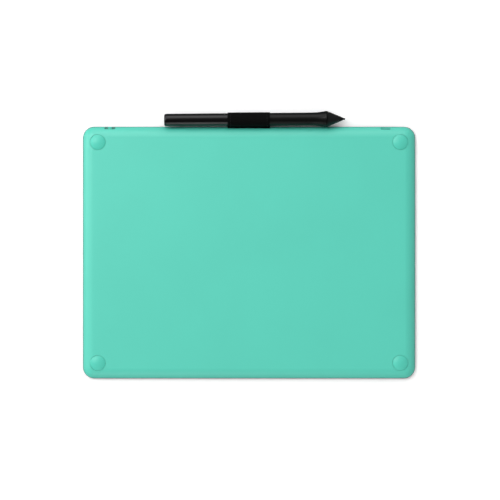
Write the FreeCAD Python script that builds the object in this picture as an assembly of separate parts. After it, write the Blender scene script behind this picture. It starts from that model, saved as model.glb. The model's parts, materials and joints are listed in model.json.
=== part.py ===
import FreeCAD, Part
import math
import os

# Pen drawing tablet, lying on its face, with its pen in the cloth loop of its long edge.
# X runs along the long side, Y towards the pen, Z out of the tablet's back.
# The origin is the middle of the drawing face.  All sizes are in millimetres.

V = FreeCAD.Vector

# ---------------------------------------------------------------- the case
tablet_length = 264.0
tablet_width = 200.0
corner_radius = 9.0          # outline of the front panel, seen from above
front_depth = 2.2            # front panel, from its face to the joint line
front_wall = 3.2             # its upright border
front_floor = 1.4            # its floor between the borders
back_height = 8.0            # flat of the back above the face
cover_inset = 0.3            # the back cover stands in this far from the front panel
cover_rim = 0.4              # upright rim of the cover above the joint line
cover_wall = 1.5
edge_flat = 0.3              # the rounded edge stops this short of the corner's centre
face_edge = 0.5              # rounding of the front panel's outer edge

pen_edge = tablet_width / 2
cover_length = tablet_length - 2 * cover_inset
cover_width = tablet_width - 2 * cover_inset
cover_corner = corner_radius - cover_inset
shoulder = cover_corner - edge_flat
edge_rise = back_height - front_depth - cover_rim
edge_radius = (shoulder ** 2 + edge_rise ** 2) / (2 * edge_rise)
edge_centre_z = back_height - edge_radius
inside_top = back_height - cover_wall
shortest_edge = 0.001

lip_height = 0.8             # lip of the front panel that the cover drops over
lip_thickness = 0.8
lip_clearance = 0.12
lip_spare = 1.0              # the lip stops this far from what passes through the case's edge
lip_top = front_depth + lip_height
lip_reach = math.sqrt((edge_radius - cover_wall) ** 2 - (lip_top - edge_centre_z) ** 2)
lip_inset = cover_inset + shoulder - lip_reach + lip_clearance

rib_depth = 1.0
rib_thickness = 1.0
rib_pitch = 30.0
rib_edge_x = 27.0            # outermost ribs, from the tablet's short and long edges
rib_edge_y = 40.0
rib_margin = 1.5             # ribs stop this far from the battery

# ---------------------------------------------------------------- feet and case screws
foot_radius = 6.1
foot_gap = 0.15
foot_inset_x = 12.3          # foot centre from the tablet's short edge
foot_inset_y = 12.65         # foot centre from the tablet's long edge
foot_proud = 0.8             # crown of the foot above the flat of the back
foot_crown = 0.95
foot_seat_depth = 1.1
foot_wall = 0.75
foot_rounding = 0.25

case_screw_radius = 1.0
case_screw_shank = 3.8
case_head_radius = 1.9
case_head_height = 1.2
head_clearance = 0.2
shank_clearance = 0.05
head_cover_gap = 0.1         # between the screw's head and the foot
clamped_wall = 1.2           # cover's wall under the screw's head
post_wall = 1.5
post_top_gap = 0.05

foot_x = tablet_length / 2 - foot_inset_x
foot_y = tablet_width / 2 - foot_inset_y
foot_places = [(side_x * foot_x, side_y * foot_y) for side_y in (1, -1) for side_x in (-1, 1)]
foot_seat_z = back_height - foot_seat_depth
foot_boss_radius = foot_radius + foot_gap + foot_wall
case_seat_z = foot_seat_z - head_cover_gap - case_head_height
post_radius = case_screw_radius + shank_clearance + post_wall
post_top = case_seat_z - clamped_wall
boss_bottom = post_top + post_top_gap

# ---------------------------------------------------------------- keys, tray and drawing surface
tray_inset = 16.5            # middle of the tray from the pen edge
tray_width = 13.0
tray_depth = 1.3
tray_floor = 1.0
tray_end = 9.5               # tray beyond the outer keys
tray_border = 1.5            # thickened floor round the tray

key_length = 19.0
key_width = 7.2
key_corner = 2.2
key_from_middle = 14.5       # inner key's near end from the tablet's middle line
key_spacing = 3.0
key_sunk = 0.45              # key top below the face
key_gap = 0.15
key_rounding = 0.3
key_flange = 0.8
key_flange_thickness = 0.35
key_flange_gap = 0.05
key_travel = 0.4
key_travel_spare = 0.05
key_bump_radius = 0.7
key_bump_height = 0.2

surface_margin_x = 6.0       # drawing surface from the short edges
surface_margin_y = 6.5       # from the long edge away from the pen
surface_tray_gap = 8.5       # from the tray
surface_thickness = 0.35
surface_recess = 0.4
surface_corner = 5.0
surface_gap = 0.15

light_length = 6.0
light_width = 1.6
light_gap = 0.05
light_proud = 0.05
led_length = 1.6
led_width = 0.8
led_height = 0.4

key_inner_x = key_from_middle + key_length / 2
key_outer_x = key_inner_x + key_length + key_spacing
tray_centre_y = pen_edge - tray_inset
tray_length = 2 * (key_outer_x + key_length / 2 + tray_end)
key_places = [(-key_outer_x, tray_centre_y), (-key_inner_x, tray_centre_y),
              (key_inner_x, tray_centre_y), (key_outer_x, tray_centre_y)]
surface_low_y = -tablet_width / 2 + surface_margin_y
surface_high_y = tray_centre_y - tray_width / 2 - surface_tray_gap
surface_length = tablet_length - 2 * surface_margin_x
surface_width = surface_high_y - surface_low_y
surface_centre_y = (surface_high_y + surface_low_y) / 2

# ---------------------------------------------------------------- pen, along its own axis
# Places along the pen are counted from its tail end; depths and radii from its axis.
pen_length = 143.3
pen_tilt = 0.36              # degrees, tip leaning away from the tablet
pen_tail_reach = 67.1        # tail end to the tablet's middle line
pen_edge_gap = 0.15          # grip to the tablet's edge, at the middle line
pen_floor_gap = 0.3          # flare to the table

grip_radius = 5.2
grip_wall = 1.03
seam_at = 61.0               # joint of the two barrels
seam_gap = 0.1
seam_slimmer = 0.07          # how much slimmer than the grip the pen is at the seam,
mid_at = 50.0                # at this place in the rear barrel,
mid_slimmer = 0.13
tail_slimmer = 0.25          # and beside its tail end
tail_round = 1.5
tail_round_depth = 1.32
rear_wall = 1.26
rear_bore_end = 4.0
puller_radius = 0.9
puller_depth = 3.0

nib_radius = 0.8
nib_length = 23.6
nib_showing = 1.9
nib_gap = 0.08
nib_travel = 0.3
nib_seat = 3.1               # nib's length inside its socket

cone_length = 12.5
cone_end_radius = 1.1
cone_gap = 0.22
cone_step = 0.05
flare_rise = 1.2             # flare's radius over the grip's
flare_length = 12.0
flare_edge = 0.8             # rounded end of the flare
flare_edge_drop = 0.15
cone_spigot_length = 3.6
cone_spigot_wall = 1.0
cone_knee_reach = 1.4        # cavity's bend in front of the cone's base
cone_solid_tip = 4.4
cone_tip_wall = 1.0

pen_fit = 0.05               # radial clearance of what slides or seats inside the pen
chassis_plug = 23.0          # chassis inside the rear barrel
chassis_collar = 5.0
chassis_face = 0.45          # flat of the tray above the pen's axis
chassis_pocket_half = 2.4
chassis_pocket_top = 2.9
chassis_pocket_end = 2.0
chassis_ring_wall = 1.1
pen_board_half = 3.3
pen_board_thickness = 0.8
board_end_gap = 1.0

spare_nib_ring = 1.9         # three spare nibs stand in a circle of this radius
spare_nib_depth = 14.0
spare_nib_clearance = 0.05
spare_nib_count = 3

sensor_block_length = 6.2
socket_back = 0.85
socket_wall = 0.9
socket_fit = 0.02
ferrite_gap = 0.4
ferrite_radius = 1.8
ferrite_bore = 0.9
ferrite_tip_gap = 0.5
coil_start = 2.0
coil_length = 7.8
coil_gap = 0.1

rocker_length = 20.0
rocker_width = 5.2
rocker_corner = 2.4
rocker_proud = 0.6
rocker_depth = 2.13          # inner face below the grip's surface
rocker_gap = 0.2
rocker_dip_radius = 8.0
rocker_dip = 0.35
rocker_press_at = 6.5        # press points, each side of the pin
rocker_press_radius = 0.8
rocker_press_gap = 0.3
rocker_pin_radius = 0.5
rocker_pin_sunk = 1.33       # pin below the grip's surface
rocker_pin_skin = 0.2        # barrel left over each end of the pin
rocker_pin_fit = 0.03
pen_dome_radius = 1.0
pen_dome_height = 0.6

flare_radius = grip_radius + flare_rise
pen_axis_y = pen_edge + pen_edge_gap + grip_radius
pen_axis_z = flare_radius + pen_floor_gap
seam_radius = grip_radius - seam_slimmer
mid_radius = grip_radius - mid_slimmer
tail_radius = grip_radius - tail_slimmer
tail_flat_radius = tail_radius - tail_round_depth
rear_bore = seam_radius - rear_wall
grip_bore = grip_radius - grip_wall

cone_end = pen_length - nib_showing
grip_end = cone_end - cone_length
grip_end_radius = flare_radius - flare_edge_drop
cone_base_radius = grip_end_radius - cone_step
cone_spigot_bore = grip_bore - pen_fit - cone_spigot_wall
flare_at = grip_end - flare_edge
flare_from = flare_at - flare_length

nib_rear = pen_length - nib_length
socket_from = nib_rear - socket_back
socket_end = nib_rear + nib_seat
socket_radius = nib_radius + socket_wall
sensor_end = socket_from - nib_travel - pen_fit
sensor_from = sensor_end - sensor_block_length
ferrite_from = socket_end + ferrite_gap
coil_from = ferrite_from + coil_start
coil_end = coil_from + coil_length
cone_cavity_end = cone_end - cone_solid_tip
cone_cavity_knee = grip_end + cone_knee_reach
ferrite_end = cone_cavity_end - ferrite_tip_gap
cone_taper = (cone_base_radius - cone_end_radius) / (cone_length - cone_gap)
cone_cavity_radius = cone_end_radius + cone_taper * cone_solid_tip - cone_tip_wall
cavity_taper = (cone_spigot_bore - cone_cavity_radius) / (cone_cavity_end - cone_cavity_knee)
coil_radius = cone_spigot_bore - cavity_taper * (coil_end - cone_cavity_knee) - coil_gap

chassis_rear = seam_at - chassis_plug
chassis_step = seam_at + 2 * seam_gap
chassis_tray_from = seam_at + chassis_collar
chassis_ring_from = sensor_from - socket_wall / 3
chassis_front = ferrite_from + coil_start / 2.5
chassis_ring_bore = grip_bore - pen_fit - chassis_ring_wall
sensor_radius = chassis_ring_bore - pen_fit
pen_board_from = chassis_tray_from + board_end_gap
pen_board_end = chassis_ring_from - board_end_gap
rocker_centre = pen_board_end - rocker_length / 2
rocker_inner = grip_radius - rocker_depth
rocker_pin_depth = grip_radius - rocker_pin_sunk
rocker_pin_half = math.sqrt(grip_radius ** 2 - rocker_pin_depth ** 2) - rocker_pin_skin

# ---------------------------------------------------------------- cloth loop and its clamp
loop_width = 33.5
loop_centre_x = -0.25
loop_thickness = 0.5
loop_clearance = 0.05        # between the grip and the loop's inside
loop_slot_z = 3.8            # middle of the slot that the loop's two ends enter
loop_mouth_gap = 0.467       # where the two ends meet, from the loop's inside
loop_tail = 7.5              # loop's ends inside the tablet's edge
loop_slot_clearance = 0.1
loop_slot_spare = 0.5
loop_screw_spare = 2.9       # loop's edge to the clamp's screws
clamp_end = 2.6
clamp_depth = 4.0
clamp_thickness = 0.65
clamp_gap = 0.05
clamp_screw_radius = 0.8
clamp_screw_length = 3.0
clamp_head_radius = 1.5
clamp_head_height = 0.7
clamp_boss_radius = 2.2

loop_inner = grip_radius + loop_clearance
loop_outer = loop_inner + loop_thickness
loop_slot_half = loop_thickness + loop_slot_clearance
loop_mouth_y = pen_axis_y - math.sqrt((loop_inner + loop_mouth_gap) ** 2
                                      - (pen_axis_z - loop_slot_z) ** 2)
loop_tail_y = pen_edge - loop_tail
clamp_screw_x = loop_width / 2 + loop_screw_spare
clamp_top = loop_slot_z - loop_thickness - clamp_gap
clamp_middle_y = loop_tail_y + clamp_depth / 2

# ---------------------------------------------------------------- boards inside
board_thickness = 0.8
dome_height = 0.2
dome_radius = 2.2
board_post_gap = 1.35        # boards from the posts of the case screws
board_wall_gap = 0.3
board_spacing = 1.5          # between boards that lie edge to edge
board_link = 6.5             # between the switch board and the main board
main_board_short = 1.0       # the main board stops this much sooner than the switch board
switch_board_front_reach = 9.0
switch_board_spare = 1.5     # switch board short of the tray's end
switch_board_loop_gap = 1.0

sensor_margin_x = 10.0       # sensor board inside the drawing surface
sensor_margin_y = 6.0
seat_gap = 0.05
shield_thickness = 0.3
shield_margin = 2.0
shield_gap = 0.1
main_board_z = 1.95

battery_length = 64.0
battery_width = 46.0
battery_height = 3.4
battery_centre = (-40.0, -10.0)
battery_gap = 0.1
battery_corner = 2.0
lead_radius = 0.5
lead_spacing = 1.2
lead_bend = 12.0
lead_from_middle = 15.0      # lead's start from the battery's middle
lead_lift = 0.3
plug_length = 5.0
plug_width = 5.0
plug_height = 2.3
plug_inset_x = 2.9           # plug's middle from the main board's corner
plug_inset_y = 2.0

ribbon_thickness = 0.15
ribbon_landing = 6.0
sensor_ribbon_width = 16.0
sensor_ribbon_inset = 18.0
switch_ribbon_width = 8.0
switch_ribbon_inset = 5.5
ribbon_overhang = 0.5

board_screw_radius = 0.8
board_screw_length = 1.9
board_head_radius = 1.5
board_head_height = 0.7
board_post_wall = 1.0
board_screw_skin = 0.5       # front panel left below the screws of the main board
board_screw_inset = 4.0
switch_screw_inset = 12.5
switch_screw_from_end = 4.5  # screws beside the tray, from its end and its middle line
chips = ((21.0, 16.0, 7.0, 7.0, 0.9), (33.0, 11.0, 4.0, 4.0, 0.8), (38.0, 20.0, 3.0, 3.0, 0.7),
         (31.0, 3.5, 5.0, 4.0, 1.0), (11.0, 12.0, 3.0, 1.6, 0.6))  # x, y, length, width, height
radio_place = (14.5, 25.5)
radio_length = 11.0
radio_width = 9.0
radio_height = 1.8
radio_corner = 0.8

tray_back_z = tray_depth + tray_floor
key_flange_z = tray_back_z + key_flange_gap
dome_low_z = key_flange_z + key_flange_thickness + key_travel + key_travel_spare
switch_board_z = dome_low_z + dome_height
switch_board_top = switch_board_z + board_thickness
switch_board_left = -(foot_x - post_radius - board_post_gap)
switch_board_right = tray_length / 2 - switch_board_spare
switch_board_front = tray_centre_y - switch_board_front_reach
switch_board_back = loop_tail_y - switch_board_loop_gap
switch_post_y = tray_centre_y - switch_screw_from_end
switch_post_x = (switch_board_left + switch_screw_inset, switch_screw_from_end - tray_length / 2,
                 tray_length / 2 - switch_screw_from_end)

sensor_length = surface_length - 2 * sensor_margin_x
sensor_width = surface_width - 2 * sensor_margin_y
sensor_z = front_floor + seat_gap
shield_z = sensor_z + board_thickness + shield_gap
shield_top = shield_z + shield_thickness
battery_z = shield_top + battery_gap

main_board_top = main_board_z + board_thickness
main_board_left = switch_board_right + board_link
main_board_right = foot_x - post_radius - board_post_gap - main_board_short
main_board_front = surface_centre_y + sensor_width / 2 + board_spacing
main_board_back = pen_edge - max(front_wall, lip_inset + lip_thickness) - board_wall_gap
main_post_places = ((main_board_left + board_screw_inset, main_board_back - board_screw_inset),
                    (main_board_right - board_screw_inset, main_board_front + board_screw_inset))
plug_middle_x = main_board_left + plug_inset_x
plug_front_y = main_board_front + plug_inset_y
sensor_ribbon_x = main_board_left + sensor_ribbon_inset
switch_ribbon_y = switch_board_back - switch_ribbon_inset

# ---------------------------------------------------------------- power button and port
power_inset_x = 21.6         # middle of the button from the short edge
power_z = 4.1
power_scoop_width = 8.5
power_scoop_height = 2.2
power_scoop_inset = 2.6      # floor of the finger scoop from the pen edge
power_face_inset = 0.3
power_button_width = 2.8
power_button_height = 1.7
power_gap = 0.1
power_wall = 1.4
power_wall_margin = 2.8
power_flange = 1.0
power_flange_thickness = 0.6
power_flange_gap = 0.1
power_travel = 0.4
power_travel_spare = 0.1
power_stem_width = 1.6
power_stem_height = 0.9
power_switch_width = 4.5
power_switch_depth = 3.4
power_switch_height = 1.2
power_plunger = 0.4          # switch's plunger, standing out of the board's edge
power_plunger_half = 0.3
power_rounding = 0.3

port_inset_x = 23.6          # middle of the port from the short edge
port_width = 7.5
port_height = 2.5
port_depth = 5.5
port_wall = 0.25
port_inset = 2.8             # port's mouth from the pen edge
port_narrowing = 0.95
port_shoulder = 1.15
port_clearance = 0.3
tongue_width = 4.2
tongue_height = 0.6
tongue_depth = 4.2

power_x = power_inset_x - tablet_length / 2
power_scoop_y = pen_edge - power_scoop_inset
power_face_y = pen_edge - power_face_inset
power_switch_front = switch_board_back + power_plunger
power_switch_middle_z = switch_board_top + power_switch_height / 2
port_x = tablet_length / 2 - port_inset_x
port_front_y = pen_edge - port_inset
port_z = main_board_top + port_height / 2

# ================================================================ shared shapes
def box(x0, x1, y0, y1, z0, z1):
    return Part.makeBox(x1 - x0, y1 - y0, z1 - z0, V(x0, y0, z0))


def rod(x, y, z0, z1, radius):
    return Part.makeCylinder(radius, z1 - z0, V(x, y, z0))


def lengthwise(u0, u1, radius):
    """A rod along the pen's axis."""
    return Part.makeCylinder(radius, u1 - u0, V(u0, 0, 0), V(1, 0, 0))


def slab(x, y, length, width, z0, z1, corner):
    """A plate with rounded upright corners, centred on x and y."""
    plate = box(x - length / 2, x + length / 2, y - width / 2, y + width / 2, z0, z1)
    upright = [edge for edge in plate.Edges
               if abs(edge.Vertexes[0].Z - edge.Vertexes[-1].Z) > (z1 - z0) / 2]
    return plate.makeFillet(corner, upright)


def edges_at(solid, z):
    """The edges that lie flat at one height."""
    return [edge for edge in solid.Edges
            if abs(edge.BoundBox.ZMin - z) < 1e-4 and abs(edge.BoundBox.ZMax - z) < 1e-4]


def joined(first, others):
    return first.multiFuse(others).removeSplitter()


def turned(outline):
    """Turn a closed outline of edges about the pen's axis; the outline lies in the XY plane."""
    face = Part.Face(Part.Wire(outline))
    return face.revolve(V(0, 0, 0), V(1, 0, 0), 360)


def line(a, b):
    return Part.makeLine(V(a[0], a[1], 0), V(b[0], b[1], 0))


def arc(a, middle, b):
    return Part.Arc(V(a[0], a[1], 0), V(middle[0], middle[1], 0), V(b[0], b[1], 0)).toShape()


def chain(points):
    return [line(a, b) for a, b in zip(points, points[1:])]


def tangent_arc(start, end):
    """An arc that leaves start along the axis and reaches end, curving outwards."""
    run = end[0] - start[0]
    rise = end[1] - start[1]
    radius = (run ** 2 + rise ** 2) / (2 * rise)
    half_turn = math.asin(run / radius) / 2
    middle = (start[0] + radius * math.sin(half_turn),
              start[1] + radius * (1 - math.cos(half_turn)))
    return arc(start, middle, end)


def corner_arc(flat_end, side_end):
    """A quarter round from an end face out to the side, bulging outwards."""
    run = side_end[0] - flat_end[0]
    rise = side_end[1] - flat_end[1]
    share = math.sqrt(0.5)
    middle = (flat_end[0] + run * (1 - share), flat_end[1] + rise * share)
    return arc(flat_end, middle, side_end)


def strip(points, thickness):
    """Closed outline of a thin sheet that follows the points, as (s, z) pairs, on its lower side."""
    upper = []
    for index, point in enumerate(points):
        before = points[max(index - 1, 0)]
        after = points[min(index + 1, len(points) - 1)]
        slope_in = math.atan2(point[1] - before[1], point[0] - before[0]) if index else None
        slope_out = math.atan2(after[1] - point[1], after[0] - point[0])
        if index == len(points) - 1:
            slope_out = slope_in
        if slope_in is None:
            slope_in = slope_out
        middle = (slope_in + slope_out) / 2
        reach = thickness / math.cos((slope_out - slope_in) / 2)
        upper.append((point[0] - reach * math.sin(middle), point[1] + reach * math.cos(middle)))
    return list(points) + upper[::-1]


def sheet_along_x(points, thickness, middle_y, width):
    outline = [V(s, middle_y - width / 2, z) for s, z in strip(points, thickness)]
    face = Part.Face(Part.makePolygon(outline + outline[:1]))
    return face.extrude(V(0, width, 0))


def sheet_along_y(points, thickness, middle_x, width):
    outline = [V(middle_x - width / 2, s, z) for s, z in strip(points, thickness)]
    face = Part.Face(Part.makePolygon(outline + outline[:1]))
    return face.extrude(V(width, 0, 0))


def screw(x, y, seat_z, towards, radius, length, head_radius, head_height):
    """A pan head screw with a cross recess; towards is -1 or 1, the way its point goes along Z."""
    shank = Part.makeCylinder(radius, length, V(x, y, seat_z), V(0, 0, towards))
    head = Part.makeCylinder(head_radius, head_height, V(x, y, seat_z), V(0, 0, -towards))
    top = seat_z - towards * head_height
    head = head.makeFillet(head_height * 0.4, edges_at(head, top))
    slot_half = head_radius * 0.12
    slot_reach = head_radius * 0.55
    deep = top + towards * head_height * 0.5
    low, high = sorted((top - towards, deep))
    cross = box(x - slot_half, x + slot_half, y - slot_reach, y + slot_reach, low, high)
    cross = cross.fuse(box(x - slot_reach, x + slot_reach, y - slot_half, y + slot_half, low, high))
    return head.fuse(shank).removeSplitter().cut(cross)


# ================================================================ case
def half_section(reach, depth):
    """Section of the back from a middle line out to its rounded edge, as (s, z) edges.

    depth is how far the section lies below the outer skin."""
    radius = edge_radius - depth
    centre = reach - shoulder
    out = min(shoulder - depth, math.sqrt(radius ** 2 - (front_depth - edge_centre_z) ** 2))
    side = centre + out
    meet = edge_centre_z + math.sqrt(radius ** 2 - out ** 2)
    half_way = (math.acos(out / radius) + math.pi / 2) / 2
    middle = (centre + radius * math.cos(half_way), edge_centre_z + radius * math.sin(half_way))
    top = edge_centre_z + radius
    corners = [(0, top), (0, front_depth), (side, front_depth)]
    if meet - front_depth > shortest_edge:
        corners.append((side, meet))
    return chain(corners) + [arc(corners[-1], middle, (centre, top)), line((centre, top), (0, top))]


def back_block(depth):
    """The back's outer form, or its hollow when depth is the wall."""
    upright = Part.Face(Part.Wire(half_section(0.5 * cover_width, depth)))
    upright.rotate(V(0, 0, 0), V(1, 0, 0), 90)
    long_side = upright.copy()
    long_side.rotate(V(0, 0, 0), V(0, 0, 1), 90)
    straight_x = cover_length / 2 - cover_corner
    straight_y = cover_width / 2 - cover_corner
    long_side.translate(V(-straight_x, 0, 0))
    long_side = long_side.extrude(V(2 * straight_x, 0, 0))
    short_side = Part.Face(Part.Wire(half_section(0.5 * cover_length, depth)))
    short_side.rotate(V(0, 0, 0), V(1, 0, 0), 90)
    short_side.translate(V(0, -straight_y, 0))
    short_side = short_side.extrude(V(0, 2 * straight_y, 0))
    quarter = Part.Face(Part.Wire(half_section(cover_corner, depth)))
    quarter.rotate(V(0, 0, 0), V(1, 0, 0), 90)
    quarter = quarter.revolve(V(0, 0, 0), V(0, 0, 1), 90)
    quarter.translate(V(straight_x, straight_y, 0))
    half = joined(long_side, [short_side, quarter, quarter.mirror(V(0, 0, 0), V(1, 0, 0)),
                              short_side.mirror(V(0, 0, 0), V(1, 0, 0))])
    return joined(half, [half.mirror(V(0, 0, 0), V(0, 1, 0))])


def cover_ribs():
    """Stiffening ribs under the back, left out round the battery."""
    low = inside_top - rib_depth
    high = inside_top + cover_wall / 2
    columns = int((tablet_length - 2 * rib_edge_x) // rib_pitch)
    rows = int((tablet_width - 2 * rib_edge_y) // rib_pitch)
    reach_x = columns * rib_pitch / 2
    reach_y = rows * rib_pitch / 2
    ribs = []
    for column in range(columns + 1):
        x = column * rib_pitch - reach_x
        ribs.append(box(x - rib_thickness / 2, x + rib_thickness / 2, -reach_y, reach_y, low, high))
    for row in range(rows + 1):
        y = row * rib_pitch - reach_y
        ribs.append(box(-reach_x, reach_x, y - rib_thickness / 2, y + rib_thickness / 2, low, high))
    lattice = joined(ribs[0], ribs[1:])
    spare_x = battery_length / 2 + rib_margin
    spare_y = battery_width / 2 + rib_margin
    x, y = battery_centre
    return lattice.cut(box(x - spare_x, x + spare_x, y - spare_y, y + spare_y, low, inside_top))


def loop_land():
    """Block and two bosses inside the cover that the loop's ends are clamped against."""
    low = loop_slot_z + loop_slot_half
    high = inside_top + cover_wall / 2
    half = loop_width / 2
    land = box(loop_centre_x - half, loop_centre_x + half, loop_tail_y, loop_tail_y + clamp_depth,
               low, high)
    solids = []
    for side in (-1, 1):
        x = loop_centre_x + side * clamp_screw_x
        boss = rod(x, clamp_middle_y, clamp_top + clamp_gap, high, clamp_boss_radius)
        boss = boss.cut(box(loop_centre_x - half, loop_centre_x + half, 0, tablet_width, 0, low))
        solids.append(boss)
    return solids + [land]


def rear_cover():
    skin = back_block(0)
    shell = skin.cut(back_block(cover_wall))
    added = [cover_ribs()] + loop_land()
    added += [rod(x, y, boss_bottom, foot_seat_z + foot_seat_depth / 2, foot_boss_radius)
              for x, y in foot_places]
    power_half = power_scoop_width / 2 + power_wall_margin
    added.append(box(power_x - power_half, power_x + power_half,
                     power_scoop_y - power_wall, power_scoop_y + power_wall,
                     front_depth + cover_rim, inside_top))
    shell = joined(shell, [piece.common(skin) for piece in added])
    cuts = []
    for x, y in foot_places:
        cuts.append(rod(x, y, foot_seat_z, back_height + foot_proud, foot_radius + foot_gap))
        cuts.append(rod(x, y, case_seat_z, foot_seat_z, case_head_radius + head_clearance))
        cuts.append(rod(x, y, 0, case_seat_z, case_screw_radius + shank_clearance))
    for side in (-1, 1):
        x = loop_centre_x + side * clamp_screw_x
        cuts.append(rod(x, clamp_middle_y, 0, clamp_top + clamp_screw_length,
                        clamp_screw_radius + shank_clearance))
    slot_half_x = loop_width / 2 + loop_slot_spare
    cuts.append(box(loop_centre_x - slot_half_x, loop_centre_x + slot_half_x,
                    loop_tail_y, tablet_width,
                    loop_slot_z - loop_slot_half, loop_slot_z + loop_slot_half))
    cuts += [power_scoop(), power_hole(power_gap), power_flange_room(), port_hole()]
    return shell.cut(joined(cuts[0], cuts[1:]))


def power_scoop():
    scoop = slab(0, 0, power_scoop_width, power_scoop_height, 0, tablet_width / 2,
                 power_scoop_height * 0.45)
    scoop.rotate(V(0, 0, 0), V(1, 0, 0), -90)
    scoop.translate(V(power_x, power_scoop_y, power_z))
    return scoop


def power_hole(gap):
    half_x = power_button_width / 2 + gap
    half_z = power_button_height / 2 + gap
    return box(power_x - half_x, power_x + half_x, power_scoop_y - 2 * power_wall,
               tablet_width / 2, power_z - half_z, power_z + half_z)


def power_flange_room():
    """Room behind the button's wall for its flange and its travel."""
    half_x = power_button_width / 2 + power_flange + power_gap
    half_z = power_button_height / 2 + power_gap
    back_y = power_scoop_y - power_wall
    front_y = back_y - power_flange_gap - power_flange_thickness - power_travel - power_gap
    return box(power_x - half_x, power_x + half_x, front_y, back_y,
               power_z - half_z, power_z + half_z)


def port_hole():
    hole = slab(0, 0, port_width + 2 * port_clearance, port_height + 2 * port_clearance,
                0, tablet_width / 2, port_height / 3)
    hole.rotate(V(0, 0, 0), V(1, 0, 0), -90)
    hole.translate(V(port_x, port_front_y - 2 * cover_wall, port_z))
    return hole


def rounded_ring(inset, thickness, z0, z1):
    """Upright ring that follows the tablet's outline, a given distance inside it."""
    outer = slab(0, 0, tablet_length - 2 * inset, tablet_width - 2 * inset, z0, z1,
                 corner_radius - inset)
    inner_inset = inset + thickness
    inner = slab(0, 0, tablet_length - 2 * inner_inset, tablet_width - 2 * inner_inset, z0, z1,
                 corner_radius - inner_inset)
    return outer.cut(inner)


def cover_lip():
    """Lip inside the cover's wall, open at the loop, the port and the power button."""
    lip = rounded_ring(lip_inset, lip_thickness, front_floor, lip_top)
    openings = ((loop_centre_x, clamp_screw_x + clamp_end + lip_spare),
                (port_x, port_width / 2 + lip_spare),
                (power_x, power_scoop_width / 2 + power_wall_margin + lip_spare))
    for middle, half in openings:
        lip = lip.cut(box(middle - half, middle + half, 0, tablet_width, front_depth, lip_top))
    return lip


def front_panel():
    panel = slab(0, 0, tablet_length, tablet_width, 0, front_depth, corner_radius)
    panel = panel.makeFillet(face_edge, edges_at(panel, 0))
    inner_corner = corner_radius - front_wall
    panel = panel.cut(slab(0, 0, tablet_length - 2 * front_wall, tablet_width - 2 * front_wall,
                           front_floor, front_depth, inner_corner))
    tray_block = slab(0, tray_centre_y, tray_length + 2 * tray_border,
                      tray_width + 2 * tray_border, front_floor, tray_back_z, tray_width / 2)
    added = [tray_block, cover_lip()]
    added += [rod(x, y, front_floor, post_top, post_radius) for x, y in foot_places]
    board_post = board_screw_radius + board_post_wall
    added += [rod(x, switch_post_y, front_floor, switch_board_z, board_post)
              for x in switch_post_x]
    added += [rod(x, y, front_floor, main_board_z, board_post) for x, y in main_post_places]
    panel = joined(panel, added)
    tray = slab(0, tray_centre_y, tray_length, tray_width, 0, tray_depth, tray_width * 0.49)
    cuts = [tray.makeFillet(tray_depth * 0.6, edges_at(tray, tray_depth))]
    cuts.append(slab(0, surface_centre_y, surface_length + 2 * surface_gap,
                     surface_width + 2 * surface_gap, 0, surface_recess, surface_corner))
    cuts += [slab(x, y, key_length + 2 * key_gap, key_width + 2 * key_gap, 0, tray_back_z,
                  key_corner + key_gap) for x, y in key_places]
    cuts.append(box(-light_length / 2 - light_gap, light_length / 2 + light_gap,
                    tray_centre_y - light_width / 2 - light_gap,
                    tray_centre_y + light_width / 2 + light_gap, 0, tray_back_z))
    pilot = case_screw_radius + shank_clearance
    cuts += [rod(x, y, front_floor, post_top, pilot) for x, y in foot_places]
    pilot = board_screw_radius + shank_clearance
    cuts += [rod(x, switch_post_y, switch_board_z - board_screw_length, switch_board_z, pilot)
             for x in switch_post_x]
    cuts += [rod(x, y, surface_recess + board_screw_skin - seat_gap, main_board_z, pilot)
             for x, y in main_post_places]
    return panel.cut(joined(cuts[0], cuts[1:]))


def foot(x, y):
    side_top = back_height + foot_proud - foot_crown
    pad = rod(x, y, foot_seat_z, side_top, foot_radius)
    ball = (foot_radius ** 2 + foot_crown ** 2) / (2 * foot_crown)
    dome = Part.makeSphere(ball, V(x, y, back_height + foot_proud - ball))
    above = rod(x, y, side_top, back_height + foot_proud, foot_radius)
    pad = pad.fuse(dome.common(above)).removeSplitter()
    return pad.makeFillet(foot_rounding, edges_at(pad, side_top))


def case_screws():
    return [screw(x, y, case_seat_z, -1, case_screw_radius, case_screw_shank,
                  case_head_radius, case_head_height) for x, y in foot_places]


# ================================================================ face of the tablet
def drawing_surface():
    return slab(0, surface_centre_y, surface_length, surface_width, 0, surface_thickness,
                surface_corner)


def express_key(x, y, raised_dot):
    cap = slab(x, y, key_length, key_width, key_sunk, key_flange_z, key_corner)
    cap = cap.makeFillet(key_rounding, edges_at(cap, key_sunk))
    flange = slab(x, y, key_length + 2 * key_flange, key_width + 2 * key_flange, key_flange_z,
                  key_flange_z + key_flange_thickness, key_corner + key_flange)
    key = cap.fuse(flange)
    if raised_dot:
        dot = rod(x, y, key_sunk - key_bump_height, key_sunk + key_bump_height, key_bump_radius)
        key = key.fuse(dot.makeFillet(key_bump_height * 0.8,
                                      edges_at(dot, key_sunk - key_bump_height)))
    return key.removeSplitter()


def key_domes():
    return [rod(x, y, dome_low_z, switch_board_z, dome_radius) for x, y in key_places]


def status_light():
    return box(-light_length / 2, light_length / 2, tray_centre_y - light_width / 2,
               tray_centre_y + light_width / 2, tray_depth - light_proud,
               switch_board_z - led_height - seat_gap)


def status_led():
    return box(-led_length / 2, led_length / 2, tray_centre_y - led_width / 2,
               tray_centre_y + led_width / 2, switch_board_z - led_height, switch_board_z)


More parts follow.
